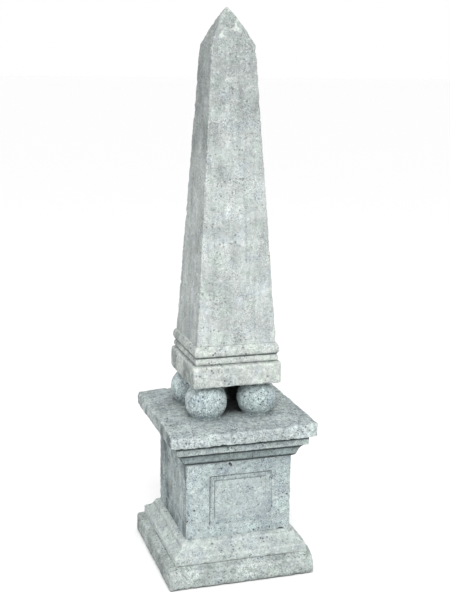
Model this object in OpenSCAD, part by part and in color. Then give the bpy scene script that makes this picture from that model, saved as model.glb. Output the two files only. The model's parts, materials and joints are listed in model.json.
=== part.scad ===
// Garden obelisk: a tapered stone spire carried on four stone balls by a
// moulded pedestal with a recessed panel on each side.
// Millimetres, +Z up, origin on the ground at the centre of the plinth.
// Every stone but the balls is square in plan, so each is drawn as one half
// outline: [distance from the centre line, height above the stone's own bed].

/* [Plinth] */
// How far the plinth, the widest stone, stands out past the die
plinth_out = 66; // [54:0.5:110]
// Height of the plinth at the bed of the base moulding
plinth_h = 64; // [40:1:90]
// Fall of the weathered top from that bed out to the arris
plinth_fall = 6; // [1:0.5:10]
// Worn radius of the plinth's top arris
plinth_round = 7; // [3:0.5:12]

/* [Base moulding] */
// How far the upright face at the foot of the moulding stands out past the die
base_out = 43; // [30:0.5:48]
// Height of that face
base_face_h = 25; // [16:1:36]
// Height of the hollow slope above the face
hollow_h = 19; // [12:1:30]
// How far the slope sinks in below a straight line
hollow_depth = 2; // [0:0.5:4]
// How far the small upright step above the slope stands out past the die
step_out = 15; // [8:0.5:24]
// Height of the small upright step
step_h = 10; // [4:1:14]
// Height of the bevel that runs up from the step to the die
bevel_h = 7; // [3:1:12]

/* [Die] */
// Width of the die, which every moulding round it follows
die_w = 322; // [260:1:400]
// Height of the die
die_h = 232; // [180:1:400]
// Margin of plain face on each side of the recessed panel
panel_side = 65; // [30:0.5:80]
// Margin of plain face under the panel
panel_foot = 36; // [15:1:60]
// Margin of plain face over the panel
panel_head = 42; // [15:1:60]
// How far each hand-cut panel lies to the right of the middle of its face
panel_shift = 5; // [-8:0.5:8]
// Width of the flat border between the two steps of the panel
panel_border = 16; // [8:1:30]
// Depth of each of the two steps of the panel
panel_step = 4.5; // [2:0.5:8]

/* [Cornice] */
// Height of the rounded moulding against the die
ovolo_h = 17; // [10:1:26]
// How far the rounded moulding bellies out past a straight line
ovolo_belly = 4; // [1:0.5:5]
// How far the short upright step above it stands out past the die
quirk_out = 16; // [10:0.5:26]
// Height of the short upright step
quirk_h = 6; // [3:1:12]
// Height of the hollow slope above the step
splay_h = 20; // [12:1:30]
// How far that slope sinks in below a straight line
splay_depth = 4; // [0:0.5:5]
// How far the cornice's upright face stands out past the die
cornice_out = 40; // [30:0.5:52]
// Height of that face
cornice_face_h = 28; // [16:1:40]

/* [Cap slab] */
// How far the cap slab stands out past the die
cap_out = 60.5; // [52:0.5:90]
// Thickness of the cap slab
cap_h = 46; // [30:1:70]
// Worn radius of the cap slab's top arris
cap_round = 7; // [3:0.5:12]

/* [Balls] */
// Diameter of each ball
ball_d = 121; // [100:1:146]
// Height of each ball between its lower and its upper flat
ball_h = 98; // [70:1:98]
// Distance between the centres of neighbouring balls
ball_pitch = 154; // [150:1:186]
// Thickness of the mortar bed under each ball
bed_h = 2; // [1:0.5:5]
// How far the foot of the mortar spreads past the ball's flat
bed_spread = 8; // [3:0.5:10]

/* [Foot block] */
// How far the foot block stands out past the foot of the shaft
foot_out = 15; // [12:0.5:30]
// Height of the plain face of the block
foot_h = 64; // [40:1:90]
// Worn radius of the block's top arris
foot_round = 6; // [3:0.5:8]
// Height of the neck on the block, below the beads
neck_h = 2; // [1:0.5:6]

/* [Beads] */
// Height of the lower bead
low_bead_h = 20; // [14:1:30]
// How far the lower bead stands out
low_bead_out = 5.5; // [3:0.5:7]
// Height of the upper bead
high_bead_h = 35; // [20:1:50]
// How far the upper bead stands out
high_bead_out = 8; // [4:0.5:9]

/* [Spire] */
// Width of the shaft at its foot
shaft_w = 240; // [200:1:290]
// Height of the tapered shaft
shaft_h = 843; // [600:1:1400]
// Width of the shaft at the foot of the point
shaft_top_w = 129; // [90:1:160]
// Height of the point
point_h = 107; // [70:1:180]
// How far each face of the point bellies out past a flat
point_belly = 3; // [0:0.5:4]
// How far the head of the shaft stands to the left of its foot
shaft_lean = 4; // [0:0.5:8]
// How far the tip stands to the left of the head of the shaft
point_lean = 3; // [0:0.5:6]

/* [Worn edges] */
// Worn radius of the upright corners of the plinth, cap slab and foot block
corner_round = 7; // [3:0.5:12]
// Bevel along the lower arrises of the plinth, cap slab and foot block
low_bevel = 3; // [1:0.5:5]

/* [Hidden] */

// Corners of the square, with the front facing -Y: [name, x side, y side,
// how far the hand-set ball there lies to the left of its true place]
CORNERS = [
    ["front_left", -1, -1, 3],
    ["front_right", 1, -1, 2],
    ["back_left", -1, 1, 8],
    ["back_right", 1, 1, 2]
];

stone = "#c3cac7";
pale_stone = "#d4d6d0";
dark_stone = "#a9b4b4";
mortar = "#c9cbc4";

arc_steps = 8;        // chords in a quarter turn of a worn arris
bow_steps = 12;       // chords across a bead, an ovolo or a hollow
flattest = 0.05;      // a bow with less sag than this is drawn straight
tip_w = 5;            // width of the blunt tip of the point
neck_out = 1.5;       // how far the beads' foot stands out past the shaft
ball_facets = 96;

// Widths over the stones, from the die and the shaft outwards
plinth_w = die_w + 2 * plinth_out;
base_w = die_w + 2 * base_out;
step_w = die_w + 2 * step_out;
quirk_w = die_w + 2 * quirk_out;
cornice_w = die_w + 2 * cornice_out;
cap_w = die_w + 2 * cap_out;
foot_w = shaft_w + 2 * foot_out;

// Outer edge of each recessed panel
panel_w = die_w - 2 * panel_side;
panel_h = die_h - panel_foot - panel_head;

// Heights of the beds, each stone standing on the one below
base_h = base_face_h + hollow_h + step_h + bevel_h;
cornice_h = ovolo_h + quirk_h + splay_h + cornice_face_h;
z_base = plinth_h;
z_die = z_base + base_h;
z_cornice = z_die + die_h;
z_cap = z_cornice + cornice_h;
z_bed = z_cap + cap_h;
z_ball = z_bed + bed_h;
z_foot = z_ball + ball_h;
z_low_bead = z_foot + foot_h + neck_h;
z_high_bead = z_low_bead + low_bead_h;
z_shaft = z_high_bead + high_bead_h;
z_point = z_shaft + shaft_h;

// Half width of the neck that both beads grow out of
neck = shaft_w / 2 + neck_out;

// Radius of the flats on which each ball is bedded
ball_flat = sqrt(ball_d * ball_d - ball_h * ball_h) / 2;

// Points of the arc about c from angle a0 to angle a1
function arc(c, r, a0, a1) = [
    for (i = [0:arc_steps])
        let (a = a0 + (a1 - a0) * i / arc_steps)
        c + r * [cos(a), sin(a)]
];

// Points of the arc from p up to q that stands out to the right of the
// straight line by sag, or sinks in to its left where sag is negative
function bow(p, q, sag) =
    let (
        chord = norm(q - p),
        along = (q - p) / chord,
        out = [along[1], -along[0]] * sign(sag),
        s = abs(sag),
        r = (chord * chord / 4 + s * s) / (2 * s),
        half = asin(chord / 2 / r)
    )
    [
        for (i = [0:bow_steps])
            let (a = half * (2 * i / bow_steps - 1))
            (p + q) / 2 + along * r * sin(a) + out * (r * cos(a) - r + s)
    ];

// A bow, or a straight line where the sag is too small to draw
function curve(p, q, sag) = abs(sag) < flattest ? [p, q] : bow(p, q, sag);

// The outline's other half, read downwards
function other_half(half) = [for (i = [len(half) - 1:-1:0]) [-half[i][0], half[i][1]]];

// A stone square in plan, its mouldings mitred at the four corners. A lean
// moves each point of it to the left by that share of its height.
module square_stone(half, lean = 0) {
    outline = concat(half, other_half(half));
    leaning = [for (p = outline) [p[0] - lean * p[1], p[1]]];
    length = 4 * max([for (p = half) p[0]]);
    intersection() {
        rotate([90, 0, 0]) linear_extrude(length, center = true) polygon(leaning);
        rotate([90, 0, 90]) linear_extrude(length, center = true) polygon(outline);
    }
}

// An upright square prism with rounded corners, which trims a stone
module rounded_prism(w, h) {
    r = corner_round;
    translate([r - w / 2, -w / 2, 0]) cube([w - 2 * r, w, h]);
    translate([-w / 2, r - w / 2, 0]) cube([w, w - 2 * r, h]);
    for (c = CORNERS)
        translate([c[1] * (w / 2 - r), c[2] * (w / 2 - r), 0]) cylinder(h = h, r = r, $fn = 48);
}

// A slab with a bevelled foot, a rounded top arris at height edge, and a top
// that rises from the arris to the full height h at half width inner
module worn_slab(w, h, edge, round, inner) {
    half = concat(
        [[w / 2 - low_bevel, 0], [w / 2, low_bevel]],
        arc([w / 2 - round, edge - round], round, 0, 90),
        h > edge ? [[inner, h]] : []
    );
    intersection() {
        square_stone(half);
        rounded_prism(w, h);
    }
}

module plinth() {
    color(stone)
        worn_slab(plinth_w, plinth_h, plinth_h - plinth_fall, plinth_round, base_w / 2);
}

module base_moulding() {
    slope_foot = [base_w / 2 - 1, base_face_h];
    slope_head = [step_w / 2 + 2, base_face_h + hollow_h];
    half = concat(
        [[base_w / 2, 0], [base_w / 2, base_face_h - 1]],
        curve(slope_foot, slope_head, -hollow_depth),
        [[step_w / 2, slope_head[1] + step_h], [die_w / 2, base_h]]
    );
    color(stone) translate([0, 0, z_base]) square_stone(half);
}

// One panel, sunk in two steps into the front face
module sunk_panel() {
    for (i = [0:1]) {
        w = panel_w - 2 * i * panel_border;
        h = panel_h - 2 * i * panel_border;
        depth = (i + 1) * panel_step;
        translate([panel_shift - w / 2, -die_w / 2 - 1, panel_foot + i * panel_border])
            cube([w, depth + 1, h]);
    }
}

module die() {
    color(stone) translate([0, 0, z_die]) difference() {
        translate([-die_w / 2, -die_w / 2, 0]) cube([die_w, die_w, die_h]);
        for (turn = [0:3])
            rotate([0, 0, 90 * turn]) sunk_panel();
    }
}

module cornice() {
    splay_foot = [quirk_w / 2 + 1, ovolo_h + quirk_h];
    splay_head = [cornice_w / 2 - 1, splay_foot[1] + splay_h];
    half = concat(
        curve([die_w / 2, 0], [quirk_w / 2 - 1, ovolo_h], ovolo_belly),
        [[quirk_w / 2, ovolo_h]],
        curve(splay_foot, splay_head, -splay_depth),
        [[cornice_w / 2, splay_head[1] + 1], [cornice_w / 2, cornice_h]]
    );
    color(stone) translate([0, 0, z_cornice]) square_stone(half);
}

module cap_slab() {
    color(stone) translate([0, 0, z_cap])
        worn_slab(cap_w, cap_h, cap_h, cap_round, 0);
}

// The centre of the ball at one corner, at height z
function ball_place(c, z) = [c[1] * ball_pitch / 2 - c[3], c[2] * ball_pitch / 2, z];

// The thin cone of mortar that one ball stands on
module ball_bed(c) {
    color(mortar) translate(ball_place(c, z_bed))
        cylinder(h = bed_h, r1 = ball_flat + bed_spread, r2 = ball_flat, $fn = ball_facets);
}

// A ball with a flat above and a flat below, where it is bedded
module ball(c) {
    color(dark_stone) translate(ball_place(c, z_ball)) intersection() {
        translate([0, 0, ball_h / 2]) sphere(d = ball_d, $fn = ball_facets);
        translate([-ball_d, -ball_d, 0]) cube([2 * ball_d, 2 * ball_d, ball_h]);
    }
}

module foot_block() {
    color(pale_stone) translate([0, 0, z_foot]) {
        worn_slab(foot_w, foot_h, foot_h, foot_round, 0);
        translate([-neck, -neck, foot_h]) cube([2 * neck, 2 * neck, neck_h]);
    }
}

module lower_bead() {
    color(pale_stone) translate([0, 0, z_low_bead])
        square_stone(curve([neck, 0], [neck, low_bead_h], low_bead_out));
}

module upper_bead() {
    color(pale_stone) translate([0, 0, z_high_bead])
        square_stone(curve([neck, 0], [shaft_w / 2, high_bead_h], high_bead_out));
}

module shaft() {
    color(stone) translate([0, 0, z_shaft])
        square_stone([[shaft_w / 2, 0], [shaft_top_w / 2, shaft_h]], shaft_lean / shaft_h);
}

module point() {
    half = curve([shaft_top_w / 2, 0], [tip_w / 2, point_h], point_belly);
    color(stone) translate([-shaft_lean, 0, z_point]) square_stone(half, point_lean / point_h);
}

plinth();
base_moulding();
die();
cornice();
cap_slab();
for (c = CORNERS) ball_bed(c);
for (c = CORNERS) ball(c);
foot_block();
lower_bead();
upper_bead();
shaft();
point();
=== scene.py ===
"""Garden obelisk in weathered granite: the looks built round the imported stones.

Every moulded stone starts as a copy of its CAD node, loses a few chips from its arrises, is
remeshed and is then worn where it is open to the weather. Its beds stay flat, so the stones keep
their places. Metres, +Z up, with the front facing -Y. A name that ends in _mm is in millimetres.
"""
import json
import math
import random

import bpy
import numpy as np
from mathutils import Matrix, Vector

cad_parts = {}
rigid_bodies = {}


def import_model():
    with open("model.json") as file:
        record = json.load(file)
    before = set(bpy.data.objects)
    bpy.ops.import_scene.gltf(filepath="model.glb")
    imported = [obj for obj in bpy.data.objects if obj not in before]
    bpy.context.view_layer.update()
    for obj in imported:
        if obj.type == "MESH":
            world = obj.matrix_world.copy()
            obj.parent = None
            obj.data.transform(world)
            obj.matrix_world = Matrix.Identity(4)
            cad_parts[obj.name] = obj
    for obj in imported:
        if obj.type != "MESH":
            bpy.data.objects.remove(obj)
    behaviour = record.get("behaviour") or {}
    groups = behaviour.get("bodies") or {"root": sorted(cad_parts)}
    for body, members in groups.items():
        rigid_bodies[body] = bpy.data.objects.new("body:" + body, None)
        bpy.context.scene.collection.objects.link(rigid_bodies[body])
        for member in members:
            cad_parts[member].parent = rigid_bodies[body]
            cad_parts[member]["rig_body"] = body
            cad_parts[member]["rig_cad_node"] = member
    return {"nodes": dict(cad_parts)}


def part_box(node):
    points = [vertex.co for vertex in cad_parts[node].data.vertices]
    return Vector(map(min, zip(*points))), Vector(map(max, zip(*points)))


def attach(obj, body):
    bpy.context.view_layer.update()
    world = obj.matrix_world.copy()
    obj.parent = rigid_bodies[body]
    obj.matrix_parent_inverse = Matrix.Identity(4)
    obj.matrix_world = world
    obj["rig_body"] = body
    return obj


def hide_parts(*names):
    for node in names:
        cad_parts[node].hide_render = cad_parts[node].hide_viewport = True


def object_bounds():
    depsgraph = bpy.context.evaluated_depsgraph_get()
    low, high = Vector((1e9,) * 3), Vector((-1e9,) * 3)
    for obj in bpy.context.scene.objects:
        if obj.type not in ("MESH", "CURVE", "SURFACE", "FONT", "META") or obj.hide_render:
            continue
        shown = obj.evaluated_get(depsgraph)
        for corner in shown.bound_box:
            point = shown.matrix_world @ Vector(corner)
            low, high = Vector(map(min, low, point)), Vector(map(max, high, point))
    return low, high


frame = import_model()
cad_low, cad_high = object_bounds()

MM = 0.001

LEFT, RIGHT = -1, 1
FRONT, BACK = -1, 1
ALONG_X, ALONG_Y, ALONG_Z = 0, 1, 2

# How much larger or smaller each hand-cut ball is in radius than its CAD ball, in millimetres
BALL_SWELL_MM = {"front_left": 0.8, "front_right": -2.5, "back_left": 0.0, "back_right": -1.0}


# ---------------------------------------------------------------- operators

def select_only(piece):
    """Makes one piece the selected and active object."""
    bpy.ops.object.select_all(action="DESELECT")
    piece.select_set(True)
    bpy.context.view_layer.objects.active = piece


def apply_modifier(piece, kind, **settings):
    """Adds a modifier with its settings and applies it to the mesh."""
    select_only(piece)
    modifier = piece.modifiers.new(kind.lower(), kind)
    for name, value in settings.items():
        setattr(modifier, name, value)
    bpy.ops.object.modifier_apply(modifier=modifier.name)


def each_point(piece, what="co"):
    """The places of a mesh's points, or their normals, as rows of x, y, z."""
    values = np.empty(len(piece.data.vertices) * 3, np.float32)
    piece.data.vertices.foreach_get(what, values)
    return values.reshape(-1, 3)


def move_points(piece, points):
    """Puts a mesh's points at new places."""
    piece.data.vertices.foreach_set("co", points.ravel())
    piece.data.update()


# Weights are stored in this many steps from 0 to 1
WEIGHT_STEPS = 20


def set_weights(piece, name, weights):
    """Stores one weight for each point as a vertex group of that name."""
    group = piece.vertex_groups.get(name) or piece.vertex_groups.new(name=name)
    steps = np.clip(np.round(np.asarray(weights) * WEIGHT_STEPS), 0, WEIGHT_STEPS).astype(int)
    for step in range(WEIGHT_STEPS + 1):
        members = np.flatnonzero(steps == step).tolist()
        if members:
            group.add(members, step / WEIGHT_STEPS, "REPLACE")


def set_attribute(piece, name, values):
    """Stores one number for each point, for the material to read."""
    attribute = piece.data.attributes.get(name) or piece.data.attributes.new(name, "FLOAT", "POINT")
    attribute.data.foreach_set("value", np.asarray(values, np.float32))


# ------------------------------------------------------------ worn masonry

def relief(name, size_mm, octaves):
    """A cloudy texture for dents, with features of about that size."""
    texture = bpy.data.textures.new(name, "CLOUDS")
    texture.noise_scale = size_mm * MM
    texture.noise_depth = octaves
    return texture


def sparse(texture, low, high):
    """Gives a texture a ramp, so that it bites only where it is brightest."""
    texture.use_color_ramp = True
    first, last = texture.color_ramp.elements
    first.position, first.color = low, (0, 0, 0, 1)
    last.position, last.color = high, (1, 1, 1, 1)
    return texture


# The mason's uneven dressing, the stone's own grain, flakes and crumbs lost from arrises, and pits
DRESSING = relief("dressing", 90, 2)
GRAIN = relief("grain", 9, 2)
SPALLS = sparse(relief("spalls", 34, 1), 0.52, 0.78)
CRUMBS = sparse(relief("crumbs", 15, 1), 0.5, 0.75)
PITS = sparse(relief("pits", 11, 0), 0.66, 0.82)


def dent(piece, texture, depth, proud=0.0, group=""):
    """Presses a texture into a piece by up to depth. A share of it, proud, stands out instead, and a
    vertex group's weights say how much each point takes."""
    apply_modifier(piece, "DISPLACE", texture=texture, strength=-depth, mid_level=proud,
                   vertex_group=group, texture_coords="LOCAL")


# Points of a CAD mesh that are nearer than this are one point
MERGE_MM = 0.01


def take_cad_stone(node, name):
    """A merged copy of a CAD node, ready to be worn."""
    select_only(frame["nodes"][node])
    bpy.ops.object.duplicate()
    stone = bpy.context.object
    stone.name = name
    stone.data.name = name
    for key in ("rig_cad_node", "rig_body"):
        del stone[key]
    bpy.ops.object.mode_set(mode="EDIT")
    bpy.ops.mesh.select_all(action="SELECT")
    bpy.ops.mesh.remove_doubles(threshold=MERGE_MM * MM)
    bpy.ops.object.mode_set(mode="OBJECT")
    return stone


# How rough the broken face of a chip is
CHIP_ROUGHNESS_MM = 3


def chip(stone, chips):
    """Knocks rough ellipsoids out of a stone. Each is its centre, its radii and its turns about X, Y
    and Z in degrees."""
    bpy.ops.object.select_all(action="DESELECT")
    cutters = []
    for centre, radii, turns in chips:
        bpy.ops.mesh.primitive_ico_sphere_add(subdivisions=3, radius=1, location=centre)
        cutter = bpy.context.object
        cutter.scale = radii
        cutter.rotation_euler = [math.radians(turn) for turn in turns]
        cutters.append(cutter)
    for cutter in cutters:
        cutter.select_set(True)
    bpy.context.view_layer.objects.active = cutters[0]
    bpy.ops.object.join()
    cutter = bpy.context.object
    bpy.ops.object.transform_apply(location=True, rotation=True, scale=True)
    dent(cutter, SPALLS, CHIP_ROUGHNESS_MM * MM)
    apply_modifier(stone, "BOOLEAN", operation="DIFFERENCE", object=cutter, solver="EXACT",
                   use_self=True)
    bpy.data.objects.remove(cutter)


# Arrises to chip, by the way they run: the level ones are struck twice as often as the upright ones
CHIPPED_ARRISES = (ALONG_X, ALONG_X, ALONG_Y, ALONG_Y, ALONG_Z)
# How much of an arris may be chipped, how the bite and the length for that bite vary, and the tilt
CHIP_REACH = 0.95
CHIP_BITE = (0.7, 1.3)
CHIP_LENGTH = (1.5, 4)
CHIP_TILT = 6


def arris_chips(node, count, bite_mm, seed):
    """Random chips along the twelve arrises of a node's box, biting in by about bite_mm."""
    pick = random.Random(seed)
    bite = bite_mm * MM
    low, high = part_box(node)
    middle, half = (low + high) / 2, (high - low) / 2
    chips = []
    for _ in range(count):
        along = pick.choice(CHIPPED_ARRISES)
        centre = Vector([middle[axis] + pick.choice((-1, 1)) * half[axis] for axis in range(3)])
        centre[along] = middle[along] + pick.uniform(-CHIP_REACH, CHIP_REACH) * half[along]
        radii = [bite * pick.uniform(*CHIP_BITE)] * 3
        radii[along] *= pick.uniform(*CHIP_LENGTH)
        chips.append((centre, radii, [pick.uniform(-CHIP_TILT, CHIP_TILT) for _ in range(3)]))
    return chips


# Passes of smoothing, and how far a sharp arris then stands out, as a share of the voxel
ARRIS_SMOOTHING = 14
SHARP_ARRIS = 0.35


def find_arrises(stone, voxel):
    """How far each point stands out past the smoothed stone: about 1 on a sharp arris, 0 on a flat
    face and -1 in a sharp hollow."""
    sharp, normals = each_point(stone), each_point(stone, "normal")
    select_only(stone)
    bpy.ops.object.duplicate()
    smoothed = bpy.context.object
    apply_modifier(smoothed, "SMOOTH", factor=0.5, iterations=ARRIS_SMOOTHING)
    out = ((sharp - each_point(smoothed)) * normals).sum(axis=1)
    bpy.data.objects.remove(smoothed)
    return np.clip(out / (SHARP_ARRIS * voxel), -1, 1)


# Distances over which wear sets in, above or below a joint and outside it
WEAR_RISES_MM = 5
WEAR_SPREADS_MM = 6


def free_to_wear(points, beds):
    """1 where a stone weathers, falling to 0 where it meets a neighbour. Each bed is its height and
    the half width of the joint."""
    across = np.abs(points[:, :2]).max(axis=1)
    free = np.ones(len(points))
    for height, half in beds:
        from_joint = np.maximum(np.abs(points[:, 2] - height) / (WEAR_RISES_MM * MM),
                                (across - half) / (WEAR_SPREADS_MM * MM))
        free = np.minimum(free, np.clip(from_joint, 0, 1))
    return free


# What a rubbed corner loses at its foot, as a share of what it loses at its top
FOOT_SHARE = 0.4


def round_corner(stone, free, x, y, reach, cut, drop):
    """Rubs down the upright corner at (x, y): points within reach of it move towards the axis by up
    to cut, most at the top, and the top also sinks by drop."""
    points = each_point(stone)
    low, high = points[:, 2].min(), points[:, 2].max()
    near = np.clip(1 - np.hypot(points[:, 0] - x, points[:, 1] - y) / reach, 0, 1) ** 1.5 * free
    rise = ((points[:, 2] - low) / (high - low)) ** 2
    inward = near * cut * (FOOT_SHARE + (1 - FOOT_SHARE) * rise)
    away = np.hypot(points[:, 0], points[:, 1])
    points[:, 0] -= inward * points[:, 0] / away
    points[:, 1] -= inward * points[:, 1] / away
    points[:, 2] -= near * drop * rise
    move_points(stone, points)


# The right end of a slab's front falls less, by this share, from this share of the half width on
RIGHT_END_KEPT = 0.8
RIGHT_END_FROM = 0.3


def fall_away(stone, free, start, drop_front, drop_left):
    """Lets the worn top of a slab fall towards its front, least at the right end, and towards its
    left side, from start outwards."""
    points = each_point(stone)
    low, high = points[:, 2].min(), points[:, 2].max()
    edge = -points[:, 1].min()
    upper = np.clip((points[:, 2] - low) / (high - low), 0, 1)

    def ramp(along, first):
        """Rises smoothly from 0 at first to 1 at the edge."""
        share = np.clip((along - first) / (edge - first), 0, 1)
        return share * share * (3 - 2 * share)

    leftward = 1 - RIGHT_END_KEPT * ramp(points[:, 0], RIGHT_END_FROM * edge)
    points[:, 2] -= upper * free * (drop_front * leftward * ramp(-points[:, 1], start)
                                    + drop_left * ramp(-points[:, 0], start))
    move_points(stone, points)


# How deep crumbs go for the spalls' depth, and grain for the dressing's
CRUMB_SHARE = 0.8
GRAIN_SHARE = 0.4


def wear(stone, voxel, rounding, depth, arris_depth, beds, proud, soft_corners, fall):
    """Remeshes a stone and wears it, but for the beds that touch another stone. A share of the
    dressing and the grain, proud, stands out of the CAD face."""
    apply_modifier(stone, "REMESH", mode="VOXEL", voxel_size=voxel, use_smooth_shade=True)
    free = free_to_wear(each_point(stone), beds)
    set_weights(stone, "weathered", free)
    apply_modifier(stone, "SMOOTH", factor=0.5, iterations=rounding, vertex_group="weathered")
    standing_out = find_arrises(stone, voxel)
    set_weights(stone, "arris", np.clip(standing_out, 0, 1) * free)
    set_attribute(stone, "standing_out", standing_out)
    for corner in soft_corners:
        round_corner(stone, free, *corner)
    if fall:
        fall_away(stone, free, *fall)
    dent(stone, DRESSING, depth, proud, "weathered")
    dent(stone, SPALLS, arris_depth, 0, "arris")
    dent(stone, CRUMBS, CRUMB_SHARE * arris_depth, 0, "arris")
    dent(stone, GRAIN, GRAIN_SHARE * depth, proud, "weathered")
    dent(stone, PITS, depth, 0, "weathered")


# Faces that lie this near to a bed's height are part of it
BED_FLATNESS_MM = 0.3


def flatten_bed(stone, height, half):
    """Turns the hidden part of a bed at that height, up to half from the axis, into one flat face."""
    select_only(stone)
    bpy.ops.object.mode_set(mode="EDIT")
    bpy.ops.mesh.select_mode(type="FACE")
    bpy.ops.mesh.select_all(action="DESELECT")
    bpy.ops.object.mode_set(mode="OBJECT")
    for face in stone.data.polygons:
        x, y, z = face.center
        level = abs(z - height) < BED_FLATNESS_MM * MM
        face.select = level and max(abs(x), abs(y)) < half
    bpy.ops.object.mode_set(mode="EDIT")
    bpy.ops.mesh.dissolve_faces()
    bpy.ops.object.mode_set(mode="OBJECT")


# The foot of a stone is what lies lower than this above its bed
FOOT_OF_STONE_MM = 1.5


def bed_down(stone, bottom, depth):
    """Lets the foot of a stone into the one below by depth, so that no groove shows at the joint."""
    points = each_point(stone)
    points[points[:, 2] < bottom + FOOT_OF_STONE_MM * MM, 2] -= depth
    move_points(stone, points)


# --------------------------------------------------------------- the stones

def half_width(node):
    """Half of a node's width from left to right."""
    low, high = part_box(node)
    return (high.x - low.x) / 2


# CAD points that lie this near to a bed's height are on it
BED_SLACK_MM = 0.5


def half_width_at(node, height):
    """How far a node reaches from the axis at that height, where it has a flat bed."""
    points = each_point(frame["nodes"][node])
    bed = points[np.abs(points[:, 2] - height) < BED_SLACK_MM * MM]
    return float(np.abs(bed[:, :2]).max())


def corner_of(node, x_side, y_side):
    """Where the upright corner of a node's box stands, on those sides."""
    low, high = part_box(node)
    return (high.x if x_side == RIGHT else low.x), (high.y if y_side == BACK else low.y)


# How far inside its edge the lowest stone touches the ground, and how far inside a joint its bed is flat
GROUND_EDGE_MM = 4
BED_MARGIN_MM = 8


def worn_stone(nodes, below, above, chips, voxel_mm=3, rounding=3, depth_mm=1.4, arris_mm=3.0,
               proud=0.5, soft_corners=(), fall_mm=None, bedded_mm=0):
    """One stone of the pile, from one CAD node or from several that are cut from one block. Below and
    above are what it meets there. Rounding is passes of smoothing, and depth_mm and arris_mm are how
    deep the faces and the arrises are worn. A soft corner is its x side and y side, and the reach,
    cut and drop of its wear in millimetres; fall_mm is fall_away's start and its two drops."""
    bottom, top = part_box(nodes[0])[0].z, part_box(nodes[-1])[1].z
    beds = []
    if below in frame["nodes"]:
        beds.append((bottom, min(half_width_at(below, bottom), half_width_at(nodes[0], bottom))))
    elif below == "ground":
        beds.append((bottom, half_width_at(nodes[0], bottom) - GROUND_EDGE_MM * MM))
    if above:
        beds.append((top, min(half_width_at(nodes[-1], top), half_width_at(above, top))))
    stones = [take_cad_stone(node, "worn_" + node) for node in nodes]
    stone = stones[0]
    for other in stones[1:]:
        apply_modifier(stone, "BOOLEAN", operation="UNION", object=other, solver="EXACT")
        bpy.data.objects.remove(other)
    if chips:
        chip(stone, chips)
    corners = [(*corner_of(nodes[0], x_side, y_side), reach * MM, cut * MM, drop * MM)
               for x_side, y_side, reach, cut, drop in soft_corners]
    fall = [length * MM for length in fall_mm] if fall_mm else None
    wear(stone, voxel_mm * MM, rounding, depth_mm * MM, arris_mm * MM, beds, proud, corners, fall)
    for height, half in beds:
        flatten_bed(stone, height, half - BED_MARGIN_MM * MM)
    if bedded_mm:
        bed_down(stone, bottom, bedded_mm * MM)
    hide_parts(*nodes)
    return stone


def chip_at(place, radii_mm, turns):
    """One chip of its own size at a place of its own."""
    return Vector(place), [radius * MM for radius in radii_mm], turns


cap_low, cap_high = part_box("cap_slab")
die_low, die_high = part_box("die")
# The lower front right corner of the cap has broken off
BROKEN_CORNER = chip_at((cap_high.x, cap_low.y, cap_low.z), (9, 6, 4), (0, 20, 25))
# A gouge slants across the front of the die, left of its middle and just under its top
GOUGE_LEFT_MM = 27
GOUGE_DOWN_MM = 11
GOUGE = chip_at((-GOUGE_LEFT_MM * MM, die_low.y, die_high.z - GOUGE_DOWN_MM * MM), (4.5, 15, 11),
                (0, -40, 0))

pieces = {}
# The plinth stands in the splash, and its front right corner has been knocked and rubbed the most
pieces["plinth"] = worn_stone(
    ["plinth"], "ground", "base_moulding", arris_chips("plinth", 26, 5, seed=3), proud=0.0,
    soft_corners=[(RIGHT, FRONT, 75, 17, 9), (RIGHT, BACK, 35, 8, 4), (LEFT, BACK, 25, 5, 2)])
pieces["base_moulding"] = worn_stone(
    ["base_moulding"], "plinth", "die", arris_chips("base_moulding", 10, 4, seed=4), bedded_mm=2,
    soft_corners=[(RIGHT, FRONT, 70, 11, 3), (RIGHT, BACK, 35, 6, 2)])
# The die and the cornice are sheltered by the cap, so their mouldings are still crisp
pieces["die"] = worn_stone(
    ["die"], "base_moulding", "cornice", [GOUGE] + arris_chips("die", 10, 4, seed=5),
    voxel_mm=2.2, rounding=1, depth_mm=1.2, bedded_mm=3)
pieces["cornice"] = worn_stone(
    ["cornice"], "die", "cap_slab", arris_chips("cornice", 12, 4, seed=6), voxel_mm=2.5, rounding=2)
# The cap takes all the rain: its arrises are soft, and its top falls away to the front and the left
pieces["cap_slab"] = worn_stone(
    ["cap_slab"], "cornice", None, [BROKEN_CORNER] + arris_chips("cap_slab", 34, 5, seed=11),
    rounding=8, depth_mm=2.0, arris_mm=4.5, fall_mm=(140, 8, 4))
pieces["foot_block"] = worn_stone(
    ["foot_block"], "balls", "lower_bead", arris_chips("foot_block", 18, 4, seed=8), voxel_mm=2.5,
    soft_corners=[(LEFT, FRONT, 14, 3, 0), (RIGHT, FRONT, 18, 4, 0), (LEFT, BACK, 26, 5, 0),
                  (RIGHT, BACK, 14, 3, 0)])
pieces["lower_bead"] = worn_stone(
    ["lower_bead"], "foot_block", "upper_bead", arris_chips("lower_bead", 6, 3, seed=9),
    voxel_mm=2.2, rounding=4, depth_mm=1.0, arris_mm=2)
pieces["upper_bead"] = worn_stone(
    ["upper_bead"], "lower_bead", "shaft", arris_chips("upper_bead", 8, 3, seed=10),
    voxel_mm=2.2, rounding=4, depth_mm=1.0, arris_mm=2)
# The shaft and its point are cut from one block, so they are worn as one piece
pieces["shaft"] = worn_stone(
    ["shaft", "point"], "upper_bead", None, None, rounding=4, depth_mm=2.0, arris_mm=2.5, bedded_mm=3)


# How far a ball sinks into its bed, and how much of its height beside a bed is left undented
BALL_SINKS_MM = 6
BED_EDGE_MM = 1
# Each way a ball is dented: its texture, its depth, and the share of it that stands out
BALL_DENTS = ((DRESSING, 2.5, 0.5), (SPALLS, 2, 0.2), (GRAIN, 1, 0.5), (PITS, 1.5, 0))


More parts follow.
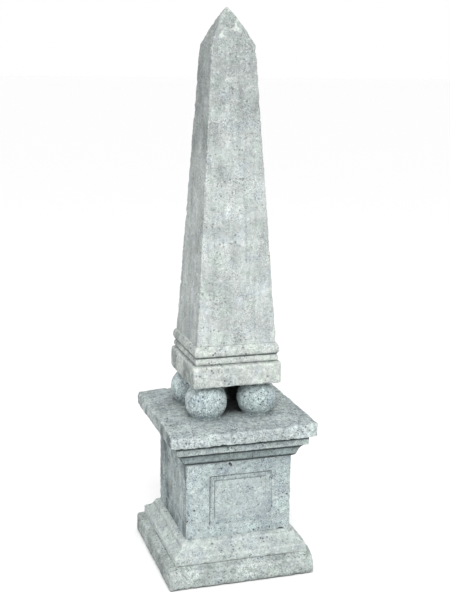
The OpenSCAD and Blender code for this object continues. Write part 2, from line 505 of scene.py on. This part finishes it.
def ball_place(node, swell_mm):
    """Centre and radius of a ball, which sits a little low between the cap and the block."""
    low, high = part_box(node)
    return (low + high) / 2 - Vector((0, 0, BALL_SINKS_MM * MM)), half_width(node) + swell_mm * MM


def ball(node, name, swell_mm):
    """A hammered ball: a sphere cut flat where it is bedded, and dented all over."""
    centre, radius = ball_place(node, swell_mm)
    bottom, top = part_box("cap_slab")[1].z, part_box("foot_block")[0].z
    bpy.ops.object.select_all(action="DESELECT")
    bpy.ops.mesh.primitive_ico_sphere_add(subdivisions=6, radius=radius, location=centre)
    piece = bpy.context.object
    piece.name = name
    bpy.ops.object.transform_apply(location=True)
    bpy.ops.object.mode_set(mode="EDIT")
    for z, side in ((bottom, -1), (top, 1)):
        bpy.ops.mesh.select_all(action="SELECT")
        bpy.ops.mesh.bisect(plane_co=(centre.x, centre.y, z), plane_no=(0, 0, side),
                            use_fill=True, clear_outer=True)
    bpy.ops.object.mode_set(mode="OBJECT")
    bpy.ops.object.shade_smooth()
    heights = each_point(piece)[:, 2]
    edge = BED_EDGE_MM * MM
    set_weights(piece, "weathered", (heights > bottom + edge) & (heights < top - edge))
    set_attribute(piece, "standing_out", np.zeros(len(heights)))
    for texture, depth_mm, proud in BALL_DENTS:
        dent(piece, texture, depth_mm * MM, proud, "weathered")
    return piece


# How far the mortar spreads past the ball's foot, how far it reaches into the cap, and its roughness
COLLAR_SPREAD_MM = 7
COLLAR_SUNK_MM = 1.5
COLLAR_ROUGHNESS_MM = 2
# Each step of the collar: how far it rises, and how much it draws in
COLLAR_STEPS = ((2, 0.98), (2, 0.98), (2, 0.99), (1, 0.95), (0.3, 0.8))


def mortar_collar(node, name, swell_mm):
    """The collar of mortar round the foot of a ball: a disc drawn up until it meets the ball."""
    centre, radius = ball_place(node, swell_mm)
    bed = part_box("cap_slab")[1].z
    foot = math.sqrt(radius ** 2 - (centre.z - bed) ** 2)
    bpy.ops.object.select_all(action="DESELECT")
    bpy.ops.mesh.primitive_circle_add(vertices=96, radius=foot + COLLAR_SPREAD_MM * MM,
                                      fill_type="NGON",
                                      location=(centre.x, centre.y, bed - COLLAR_SUNK_MM * MM))
    piece = bpy.context.object
    piece.name = name
    bpy.ops.object.transform_apply(location=True)
    bpy.ops.object.mode_set(mode="EDIT")
    bpy.ops.mesh.select_all(action="SELECT")
    for rise_mm, shrink in COLLAR_STEPS:
        bpy.ops.mesh.extrude_region_move(TRANSFORM_OT_translate={"value": (0, 0, rise_mm * MM)})
        bpy.ops.transform.resize(value=(shrink, shrink, 1))
    bpy.ops.mesh.select_all(action="SELECT")
    bpy.ops.mesh.normals_make_consistent(inside=False)
    bpy.ops.object.mode_set(mode="OBJECT")
    bpy.ops.object.shade_smooth()
    set_attribute(piece, "standing_out", np.zeros(len(piece.data.vertices)))
    dent(piece, SPALLS, COLLAR_ROUGHNESS_MM * MM, 0.2)
    return piece


for corner, swell_mm in BALL_SWELL_MM.items():
    pieces["ball_" + corner] = ball("ball_" + corner, "hammered_ball_" + corner, swell_mm)
    pieces["ball_bed_" + corner] = mortar_collar("ball_" + corner, "mortar_collar_" + corner, swell_mm)
    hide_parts("ball_" + corner)
    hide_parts("ball_bed_" + corner)


# ---------------------------------------------------------------- materials

def linear(colour):
    """An sRGB hex colour as linear red, green, blue and alpha."""
    channels = [int(colour[i:i + 2], 16) / 255 for i in (1, 3, 5)]
    return [c / 12.92 if c <= 0.04045 else ((c + 0.055) / 1.055) ** 2.4 for c in channels] + [1]


def add(tree, kind, settings=None, stops=None, **inputs):
    """Adds a node with its settings, its ramp's stops, and each input's value or the socket that
    feeds it. An input is named by its socket, with _ for a space, or by i and its number."""
    node = tree.nodes.new("ShaderNode" + kind)
    for key, value in (settings or {}).items():
        setattr(node, key, value)
    if stops:
        while len(node.color_ramp.elements) < len(stops):
            node.color_ramp.elements.new(1)
        for element, (position, colour) in zip(node.color_ramp.elements, stops):
            element.position = position
            element.color = linear(colour) if isinstance(colour, str) else (colour, colour, colour, 1)
    for key, value in inputs.items():
        socket = node.inputs[int(key[1:]) if key[1:].isdigit() else key.replace("_", " ")]
        if isinstance(value, bpy.types.NodeSocket):
            tree.links.new(value, socket)
        else:
            socket.default_value = linear(value) if isinstance(value, str) else value
    return node


def per_mm(size_mm):
    """The scale of a pattern whose features are that many millimetres across."""
    return 1 / (size_mm * MM)


# Breadths of the patterns, in millimetres. The crystals are really 1 to 2 mm across, and the flecks of
# mica and feldspar 2 to 3 mm: all are drawn about twice as coarse, so that they show at this distance.
CAST_MM = 45
RUN_MM = (16, 16, 220)
BRUISE_MM = 13
CRYSTAL_MM = 3.2
ROUGH_PATCH_MM = 60
MICA_MM = 6.4
FELDSPAR_MM = 6
LIME_MM = 26
PIT_MM = 13
PIT_CLUSTER_MM = 55
# Breadths of the drifts of painted shade on faces that look left
LEFT_SHADE_PATCH_MM = (60, 60, 110)
# How far painted shade reaches out of a crease, and out from under a ledge
CREASE_MM = 14
HOLLOW_SHADE_MM = 45
# Height of the grain in relief
BUMP_MM = 1.6
# Moves a second pattern away from the first, so that the two do not fall together
ELSEWHERE = (3.1, 1.7, 5.3)

# Tones that are laid over the stone
RAIN_RUN = "#a5aaa9"
MICA = "#6e7676"
FELDSPAR = "#dfe4e2"
LIME = "#cfd4ce"
PIT = "#5c6462"
RUBBED = "#ccd0cc"
# Painted shade for inside corners, then for creases and joints
CORNER_SHADE_TONE = "#303838"
CREASE_SHADE_TONE = "#333b3b"
# A darker tone for faces that look up
DARKER_TOP_TONE = "#a8adaf"
# Painted shade under ledges and in hollows
LEFT_SHADE_TONE = "#969a9b"
# Painted shade on faces that look left
HOLLOW_SHADE_TONE = "#5a6260"
CLEANED = "#c6cdca"
# Painted shadow in the gap between the balls
AXIS_SHADOW_TONE = "#2a302f"

# How deep behind the die's face the field of a sunk panel lies, and how deep its border still is
PANEL_BACK_MM = 7.5
PANEL_FRONT_MM = 5.5

# How strongly the blotches and the cast tint the stone, and its index of refraction
PATCH_MIX = 0.8
CAST_MIX = 0.35
GRANITE_IOR = 1.5


def granite(name, mid, pale, patch_mm=90, grain=0.5, mottle=0.5, pepper=0.5, salt=0.35, pitted=0.8,
            rubbed=0.35, streaks=0.0, crease_shade=0.5, shaded_side=(-0.6, 0, -0.2), hollow_shade=0.6, darker_top=0.0,
            left_shade=0.0, fade=None, limed=None, sunk=None, shade_bands=None, axis_shadow_mm=None):
    """Weathered granite, as coats over its middle tone: pale feldspar flecked with dark mica, blotched
    by cleaner patches, streaked where rain runs, and darkened by painted shade in its hollows and
    creases.

    The strengths, from 0 to 1: grain of the crystals, mottle of the hammer's bruises, pepper of the
    mica, salt of the feldspar, pitted of the pits, rubbed of the pale arrises, streaks of the rain runs,
    seams of the painted shade in inside corners and joints, dirt of the painted shade under ledges and
    in hollows, darker_top of the darkening of faces that look up, and left_shade of the painted shade on
    faces that look left. Inside corners take their painted shade where a face turns towards lee.

    What only some stones have: fade is the heights between which the pale patches give out, limed those
    between which spots of lime grow common, sunk the half width of the block that has sunk panels, bands
    two heights and the bands of painted shade on the mouldings between them, and axis_shadow_mm the
    distances from the axis between which painted shadow gives way to unshaded stone."""
    material = bpy.data.materials.new(name)
    material.use_nodes = True
    tree = material.node_tree
    tree.nodes.clear()
    place = add(tree, "TexCoord").outputs["Object"]
    elsewhere = add(tree, "Mapping", Vector=place, Location=ELSEWHERE).outputs["Vector"]
    height = add(tree, "SeparateXYZ", Vector=place).outputs["Z"]
    normal = add(tree, "NewGeometry").outputs["Normal"]
    facing = add(tree, "SeparateXYZ", Vector=normal).outputs
    coats = []

    # Blotches the size of a hand, each a little cleaner or duller than the next
    blotch = add(tree, "TexNoise", Vector=place, Scale=per_mm(patch_mm), Detail=5, Roughness=0.65)
    blotch = add(tree, "ValToRGB", stops=[(0.38, 0), (0.64, 1)], Fac=blotch.outputs["Fac"])
    share = add(tree, "Math", {"operation": "MULTIPLY"}, i0=blotch.outputs["Color"], i1=PATCH_MIX)
    if fade:
        fading = add(tree, "MapRange", Value=height, From_Min=fade[0], From_Max=fade[1],
                     To_Min=0.5, To_Max=-0.12)
        share = add(tree, "Math", {"operation": "MULTIPLY_ADD", "use_clamp": True},
                    i0=share.outputs["Value"], i1=0.75, i2=fading.outputs["Result"])
    coats.append((share.outputs["Value"], pale, "MIX"))

    # A cooler cast in some places and a warmer one in others
    cast = add(tree, "TexNoise", Vector=place, Scale=per_mm(CAST_MM), Detail=3, Roughness=0.55)
    cast = add(tree, "ValToRGB", stops=[(0.36, "#b2b8c1"), (0.5, "#bdbebd"), (0.64, "#b8c3bc")],
               Fac=cast.outputs["Fac"])
    coats.append((CAST_MIX, cast.outputs["Color"], "OVERLAY"))

    # Long streaks where rain has run down the faces
    if streaks:
        run = add(tree, "Mapping", Vector=place, Scale=[per_mm(size) for size in RUN_MM])
        run = add(tree, "TexNoise", Vector=run.outputs["Vector"], Scale=1, Detail=4, Roughness=0.6)
        run = add(tree, "ValToRGB", stops=[(0.45, 0), (0.72, streaks)], Fac=run.outputs["Fac"])
        coats.append((run.outputs["Color"], RAIN_RUN, "MULTIPLY"))

    # Mottling about a centimetre across, where the hammer has bruised the face
    bruises = add(tree, "TexNoise", Vector=place, Scale=per_mm(BRUISE_MM), Detail=4, Roughness=0.7)
    bruises = add(tree, "ValToRGB", stops=[(0.34, "#7c8383"), (0.5, "#bcbcbc"), (0.64, "#e2e4e4")],
                  Fac=bruises.outputs["Fac"])
    coats.append((mottle, bruises.outputs["Color"], "OVERLAY"))

    # Crystals: duller and brighter grains side by side, stronger where the face is rougher
    crystals = add(tree, "TexNoise", Vector=place, Scale=per_mm(CRYSTAL_MM), Detail=2, Roughness=0.7)
    shades = add(tree, "ValToRGB", stops=[(0.33, "#606060"), (0.5, "#bcbcbc"), (0.66, "#f4f4f4")],
                 Fac=crystals.outputs["Fac"])
    rougher = add(tree, "TexNoise", Vector=place, Scale=per_mm(ROUGH_PATCH_MM), Detail=3, Roughness=0.6)
    rougher = add(tree, "ValToRGB", stops=[(0.4, 0.4 * grain), (0.6, 1.3 * grain)],
                  Fac=rougher.outputs["Fac"])
    coats.append((rougher.outputs["Color"], shades.outputs["Color"], "OVERLAY"))

    # Mica: dark flecks
    flecks = add(tree, "TexNoise", Vector=place, Scale=per_mm(MICA_MM), Detail=3, Roughness=0.65)
    dark = add(tree, "ValToRGB", stops=[(0.33, pepper), (0.43, 0)], Fac=flecks.outputs["Fac"])
    coats.append((dark.outputs["Color"], MICA, "MULTIPLY"))

    # Feldspar: bright flecks between them
    bright = add(tree, "TexNoise", Vector=elsewhere, Scale=per_mm(FELDSPAR_MM), Detail=3, Roughness=0.65)
    bright = add(tree, "ValToRGB", stops=[(0.58, 0), (0.68, salt)], Fac=bright.outputs["Fac"])
    coats.append((bright.outputs["Color"], FELDSPAR, "MIX"))

    # Bleached spots of lime and lichen, few and far between
    spots = add(tree, "TexNoise", Vector=elsewhere, Scale=per_mm(LIME_MM), Detail=3, Roughness=0.6)
    spots = spots.outputs["Fac"]
    if limed:
        higher = add(tree, "MapRange", Value=height, From_Min=limed[0], From_Max=limed[1],
                     To_Min=-0.03, To_Max=0.1)
        spots = add(tree, "Math", i0=spots, i1=higher.outputs["Result"]).outputs["Value"]
    spots = add(tree, "ValToRGB", stops=[(0.63, 0), (0.73, 0.6)], Fac=spots)
    coats.append((spots.outputs["Color"], LIME, "MIX"))

    # Pits a few millimetres across, gathered in clusters
    pits = add(tree, "TexVoronoi", {"distance": "EUCLIDEAN"}, Vector=place, Scale=per_mm(PIT_MM),
               Randomness=1)
    pits = add(tree, "ValToRGB", stops=[(0.14, 1), (0.28, 0)], Fac=pits.outputs["Distance"])
    cluster = add(tree, "TexNoise", Vector=elsewhere, Scale=per_mm(PIT_CLUSTER_MM), Detail=1)
    cluster = add(tree, "ValToRGB", stops=[(0.48, 0), (0.6, pitted)], Fac=cluster.outputs["Fac"])
    pits = add(tree, "Math", {"operation": "MULTIPLY"}, i0=pits.outputs["Color"],
               i1=cluster.outputs["Color"]).outputs["Value"]
    coats.append((pits, PIT, "MULTIPLY"))

    # Arrises rubbed pale
    worn = add(tree, "Attribute", {"attribute_name": "standing_out"}).outputs["Fac"]
    edges = add(tree, "ValToRGB", stops=[(0.25, 0), (0.9, rubbed)], Fac=worn)
    coats.append((edges.outputs["Color"], RUBBED, "MIX"))

    # Painted shade in the inside corners, strongest where a face turns towards lee
    shaded_side_share = add(tree, "VectorMath", {"operation": "DOT_PRODUCT"}, i0=normal, i1=shaded_side)
    shaded_side_share = add(tree, "Math", {"use_clamp": True}, i0=shaded_side_share.outputs["Value"], i1=0.4)
    inside = add(tree, "MapRange", Value=worn, From_Min=-0.1, From_Max=-0.7, To_Min=0, To_Max=crease_shade)
    inside = add(tree, "Math", {"operation": "MULTIPLY"}, i0=inside.outputs["Result"],
                 i1=shaded_side_share.outputs["Value"])
    coats.append((inside.outputs["Value"], CORNER_SHADE_TONE, "MULTIPLY"))

    # Painted shade in the creases and joints, from ambient occlusion, kept off faces that look up
    crease = add(tree, "AmbientOcclusion", {"samples": 8}, Distance=CREASE_MM * MM)
    crease = add(tree, "ValToRGB", stops=[(0.3, crease_shade), (0.78, 0)], Fac=crease.outputs["AO"])
    not_facing_up = add(tree, "MapRange", Value=facing["Z"], From_Min=-0.3, From_Max=0.75,
                   To_Min=1, To_Max=0)
    crease = add(tree, "Math", {"operation": "MULTIPLY"}, i0=crease.outputs["Color"],
                 i1=not_facing_up.outputs["Result"])
    coats.append((crease.outputs["Value"], CREASE_SHADE_TONE, "MULTIPLY"))

    # Darker tone on faces that look up
    if darker_top:
        ledge = add(tree, "ValToRGB", stops=[(0.75, 0), (0.95, darker_top)], Fac=facing["Z"])
        coats.append((ledge.outputs["Color"], DARKER_TOP_TONE, "MULTIPLY"))

    # Painted shade on faces that look left, in drifts
    if left_shade:
        left_shade_mask = add(tree, "MapRange", Value=facing["X"], From_Min=-0.5, From_Max=-0.9,
                   To_Min=0, To_Max=left_shade)
        drift = add(tree, "Mapping", Vector=place, Scale=[per_mm(size) for size in LEFT_SHADE_PATCH_MM])
        drift = add(tree, "TexNoise", Vector=drift.outputs["Vector"], Scale=1, Detail=4, Roughness=0.6)
        drift = add(tree, "ValToRGB", stops=[(0.4, 0.1), (0.6, 1)], Fac=drift.outputs["Fac"])
        left_shade_mask = add(tree, "Math", {"operation": "MULTIPLY"}, i0=left_shade_mask.outputs["Result"],
                   i1=drift.outputs["Color"])
        coats.append((left_shade_mask.outputs["Value"], LEFT_SHADE_TONE, "MULTIPLY"))

    # Painted shade in the hollows and under the ledges, from ambient occlusion
    occlusion = add(tree, "AmbientOcclusion", {"samples": 8}, Distance=HOLLOW_SHADE_MM * MM)
    occlusion = add(tree, "ValToRGB", stops=[(0.1, hollow_shade), (0.75, 0)], Fac=occlusion.outputs["AO"])
    coats.append((occlusion.outputs["Color"], HOLLOW_SHADE_TONE, "MULTIPLY"))

    # How far from the axis, measured square like the stones
    over = add(tree, "VectorMath", {"operation": "ABSOLUTE"}, i0=place).outputs["Vector"]
    over = add(tree, "SeparateXYZ", Vector=over).outputs
    over = add(tree, "Math", {"operation": "MAXIMUM"}, i0=over["X"], i1=over["Y"]).outputs["Value"]

    # The field of a sunk panel, which the weather has cleaned a little
    if sunk:
        field = add(tree, "MapRange", Value=over, From_Min=sunk - PANEL_BACK_MM * MM,
                    From_Max=sunk - PANEL_FRONT_MM * MM, To_Min=0.2, To_Max=0)
        coats.append((field.outputs["Result"], CLEANED, "MIX"))

    # Bands of painted shade, one over another on the mouldings, darkest in their shadow lines
    if shade_bands:
        level = add(tree, "MapRange", Value=height, From_Min=shade_bands[0], From_Max=shade_bands[1])
        level = add(tree, "ValToRGB", stops=shade_bands[2], Fac=level.outputs["Result"])
        coats.append((1.0, level.outputs["Color"], "MULTIPLY"))

    # Painted shadow near the axis, in the gap between the balls under the foot block
    if axis_shadow_mm:
        axis_shadow = add(tree, "MapRange", {"interpolation_type": "SMOOTHSTEP"}, Value=over,
                    From_Min=axis_shadow_mm[0] * MM, From_Max=axis_shadow_mm[1] * MM,
                    To_Min=1, To_Max=0)
        coats.append((axis_shadow.outputs["Result"], AXIS_SHADOW_TONE, "MULTIPLY"))

    colour = mid
    for share, tone, blend in coats:
        colour = add(tree, "Mix", {"data_type": "RGBA", "blend_type": blend},
                     i0=share, i6=colour, i7=tone).outputs[2]

    # Grain and pits in relief
    grit = add(tree, "Math", {"operation": "MULTIPLY_ADD"}, i0=flecks.outputs["Fac"], i1=0.8,
               i2=crystals.outputs["Fac"]).outputs["Value"]
    grit = add(tree, "Math", {"operation": "SUBTRACT"}, i0=grit, i1=pits).outputs["Value"]
    bump = add(tree, "Bump", Height=grit, Strength=0.7, Distance=BUMP_MM * MM)

    # Broken feldspar is dull, while mica glints a little and a rubbed arris is smoother
    glint = add(tree, "MapRange", Value=flecks.outputs["Fac"], From_Min=0.33, From_Max=0.45,
                To_Min=0.7, To_Max=0.9)
    polish = add(tree, "MapRange", Value=worn, From_Min=0.25, From_Max=0.9, To_Min=0.9, To_Max=0.78)
    roughness = add(tree, "Math", {"operation": "MINIMUM"}, i0=glint.outputs["Result"],
                    i1=polish.outputs["Result"])
    shader = add(tree, "BsdfPrincipled", Base_Color=colour, Roughness=roughness.outputs["Value"],
                 IOR=GRANITE_IOR, Normal=bump.outputs["Normal"])
    add(tree, "OutputMaterial", Surface=shader.outputs["BSDF"])
    return material


cornice_low, cornice_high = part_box("cornice")
bead_low, bead_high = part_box("upper_bead")
shaft_low, shaft_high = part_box("shaft")

# Granite struck all over with a bush hammer: a rough matt face, broken up by bruises, dark mica and
# pits, and greyed by what the ground splashes on it
hammered_granite = granite(
    "hammered_granite", mid="#8f9694", pale="#b7bebb", patch_mm=70, grain=0.45, pepper=0.55,
    crease_shade=0.6, left_shade=0.5)

# Granite worked to a slope and washed by the rain that runs down it: paler and evener than the hammered
# face, with clean arrises and lines of painted shade in its inside corners
washed_granite = granite(
    "washed_granite", mid="#a0a7a6", pale="#b9c0be", grain=0.35, mottle=0.4, pepper=0.45,
    rubbed=0.7, crease_shade=0.9, left_shade=0.1)

# Granite sawn and rubbed flat, under the cap: cool and even, peppered with mica and pits, with painted
# shade lining the sunk panels and darkening its left face
# Inside corners of the die take painted shade where they face right and down, away from the light
DIE_SHADED_SIDE = (0.9, 0, -0.9)
panelled_granite = granite(
    "panelled_granite", mid="#8e989a", pale="#abb5b5", grain=0.45, mottle=0.4, pepper=0.65, pitted=1.0,
    crease_shade=0.85, shaded_side=DIE_SHADED_SIDE, hollow_shade=0.35, left_shade=1.0, sunk=die_high.x)

# Granite cut to mouldings: bands of painted shade under the cap, under the fillet and over the die, and
# pale on what stands out
CORNICE_SHADE_BANDS = [(0, "#3d4545"), (0.1, "#4d5555"), (0.18, "#d0d5d5"), (0.4, "#c5cbcb"),
                 (0.47, "#4d5555"), (0.57, "#4d5555"), (0.62, "#f4f4f4"), (0.82, "#ececec"),
                 (0.88, "#5c6464")]
banded_shade_granite = granite(
    "banded_shade_granite", mid="#969f9f", pale="#a8b0b0", rubbed=0.3, crease_shade=1.0, hollow_shade=0.45,
    left_shade=0.8, shade_bands=(cornice_low.z, cornice_high.z, CORNICE_SHADE_BANDS))

# Granite dressed flat: coarse to the eye, with strong flecks of mica and feldspar, dull arrises, a
# darker top, painted shade on its left face, and painted shadow between the balls
ledge_granite = granite(
    "ledge_granite", mid="#989f9f", pale="#b1b9b9", mottle=0.7, pepper=0.6, salt=0.5, rubbed=0.15,
    darker_top=0.25, left_shade=1.0, axis_shadow_mm=(40, 112))

# Granite rubbed smooth with a stone and grit: finer in grain and paler, with few dark flecks
rubbed_granite = granite(
    "rubbed_granite", mid="#a4a9a6", pale="#b6bab6", grain=0.3, pepper=0.35, crease_shade=0.35, hollow_shade=0.4,
    left_shade=0.7)

# The same, cut to a round bead: a painted shadow line along its foot, where it meets the bead below
BEAD_SHADE_BANDS = [(0, "#596161"), (0.1, "#7b8383"), (0.24, "#ffffff")]
rolled_granite = granite(
    "rolled_granite", mid="#a4a9a6", pale="#b6bab6", grain=0.3, pepper=0.35, crease_shade=1.0,
    left_shade=0.6, shade_bands=(bead_low.z, bead_high.z, BEAD_SHADE_BANDS))

# Granite tooled in fine upright strokes: soft in its mottling and streaked by rain, with large pale
# blotches low down, a duller upper half, and white spots of lime at the tip. The blotches give out
# between two heights above the shaft's foot, and the lime sets in just below and above its head.
BLOTCHES_FADE_FROM = 0.42
BLOTCHES_FADE_TO = 0.72
LIMED_MM = 60
tooled_granite = granite(
    "tooled_granite", mid="#8a8f8e", pale="#b1b6b4", patch_mm=70, grain=0.38, mottle=0.25,
    pepper=0.35, pitted=0.5, rubbed=0.1, streaks=0.45, crease_shade=0.2, hollow_shade=0.3, left_shade=0.3,
    fade=(shaft_low.z + BLOTCHES_FADE_FROM, shaft_low.z + BLOTCHES_FADE_TO),
    limed=(shaft_high.z - LIMED_MM * MM, shaft_high.z + LIMED_MM * MM))

# Granite of a coarser kind, hammered round by hand: strong grains, light and dark side by side, with
# painted shadow on the side turned to the middle
coarse_granite = granite(
    "coarse_granite", mid="#96a1a3", pale="#a8b2b3", grain=0.75, mottle=0.6, salt=0.6, crease_shade=0.0,
    hollow_shade=0.1, axis_shadow_mm=(45, 80))

# Lime mortar with sharp sand, struck off with a trowel: sandy, darker than the stone as painted shadow
# at each ball's foot, and with painted shadow near the middle
lime_mortar = granite(
    "lime_mortar", mid="#6f7a7b", pale="#838d8e", salt=0.4, crease_shade=0.0, hollow_shade=0.1,
    axis_shadow_mm=(45, 80))

finishes = {
    "plinth": (hammered_granite, "weathered_stone"),
    "base_moulding": (washed_granite, "weathered_stone"),
    "die": (panelled_granite, "weathered_stone"),
    "cornice": (banded_shade_granite, "weathered_stone"),
    "cap_slab": (ledge_granite, "weathered_stone"),
    "foot_block": (rubbed_granite, "pale_stone"),
    "lower_bead": (rubbed_granite, "pale_stone"),
    "upper_bead": (rolled_granite, "pale_stone"),
    "shaft": (tooled_granite, "weathered_stone"),
}
for corner in BALL_SWELL_MM:
    finishes["ball_" + corner] = (coarse_granite, "coarse_stone")
    finishes["ball_bed_" + corner] = (lime_mortar, "bedding_mortar")


def finish_piece(piece, material):
    """Gives a piece its one material and its body."""
    piece.data.materials.clear()
    piece.data.materials.append(material)
    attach(piece, "root")


for node, (material, slot) in finishes.items():
    finish_piece(pieces[node], material)


# -------------------------------------------------- camera, light and floor

# A turn is the azimuth and elevation that a thing looks down from, in degrees, and the camera's roll.
# A softbox from the front left and an even white sky light the stone; places and sizes are in metres.
CAMERA_TURN = (-17.17, 12.62, 0.725)
CAMERA_PLACE = (-0.911, -2.944, 1.492)
LENS_MM = 63.7
SENSOR_MM = 36
KEY_TURN = (-12, 40)
KEY_DISTANCE = 3.5
KEY_SIZE = 1.4
KEY_WATTS = 80
SKY_WHITE = (1, 1, 1, 1)
SKY_STRENGTH = 1.0
FLOOR_SIZE = 200
FLOOR_DROP_MM = 0.5
PAPER_WHITE = "#fdfdfd"
PAPER_ROUGHNESS = 0.9


def looking(azimuth, elevation, roll=0.0):
    """A turn for a camera or a light that looks down on the object from that azimuth and elevation.
    Its third column points back from the object."""
    a, e, r = (math.radians(angle) for angle in (azimuth, elevation, roll))
    back = Vector((math.sin(a) * math.cos(e), -math.cos(a) * math.cos(e), math.sin(e)))
    right = Vector((0, 0, 1)).cross(back).normalized()
    up = back.cross(right)
    axes = (math.cos(r) * right + math.sin(r) * up, math.cos(r) * up - math.sin(r) * right, back)
    return Matrix(axes).transposed().to_4x4()


def put(data, turn, place):
    """Links a camera or a light into the scene, turned and placed."""
    thing = bpy.data.objects.new(data.name, data)
    bpy.context.scene.collection.objects.link(thing)
    thing.matrix_world = Matrix.Translation(place) @ turn
    return thing


camera = bpy.data.cameras.new("camera")
camera.lens = LENS_MM
camera.sensor_width = SENSOR_MM
bpy.context.scene.camera = put(camera, looking(*CAMERA_TURN), Vector(CAMERA_PLACE))

middle = (cad_low + cad_high) / 2
key = bpy.data.lights.new("key_softbox", "AREA")
key.energy = KEY_WATTS
key.size = KEY_SIZE
key_turn = looking(*KEY_TURN)
put(key, key_turn, middle + KEY_DISTANCE * key_turn.col[2].xyz)

world = bpy.data.worlds.new("white_studio")
world.use_nodes = True
sky = world.node_tree.nodes["Background"].inputs
sky["Color"].default_value = SKY_WHITE
sky["Strength"].default_value = SKY_STRENGTH
bpy.context.scene.world = world
bpy.context.scene.view_settings.view_transform = "Standard"

bpy.ops.object.select_all(action="DESELECT")
bpy.ops.mesh.primitive_plane_add(size=FLOOR_SIZE,
                                 location=(middle.x, middle.y, cad_low.z - FLOOR_DROP_MM * MM))
floor = bpy.context.object
floor.name = "floor"
paper = bpy.data.materials.new("white_paper")
paper.use_nodes = True
sheet = paper.node_tree.nodes["Principled BSDF"].inputs
sheet["Base Color"].default_value = linear(PAPER_WHITE)
sheet["Roughness"].default_value = PAPER_ROUGHNESS
floor.data.materials.append(paper)
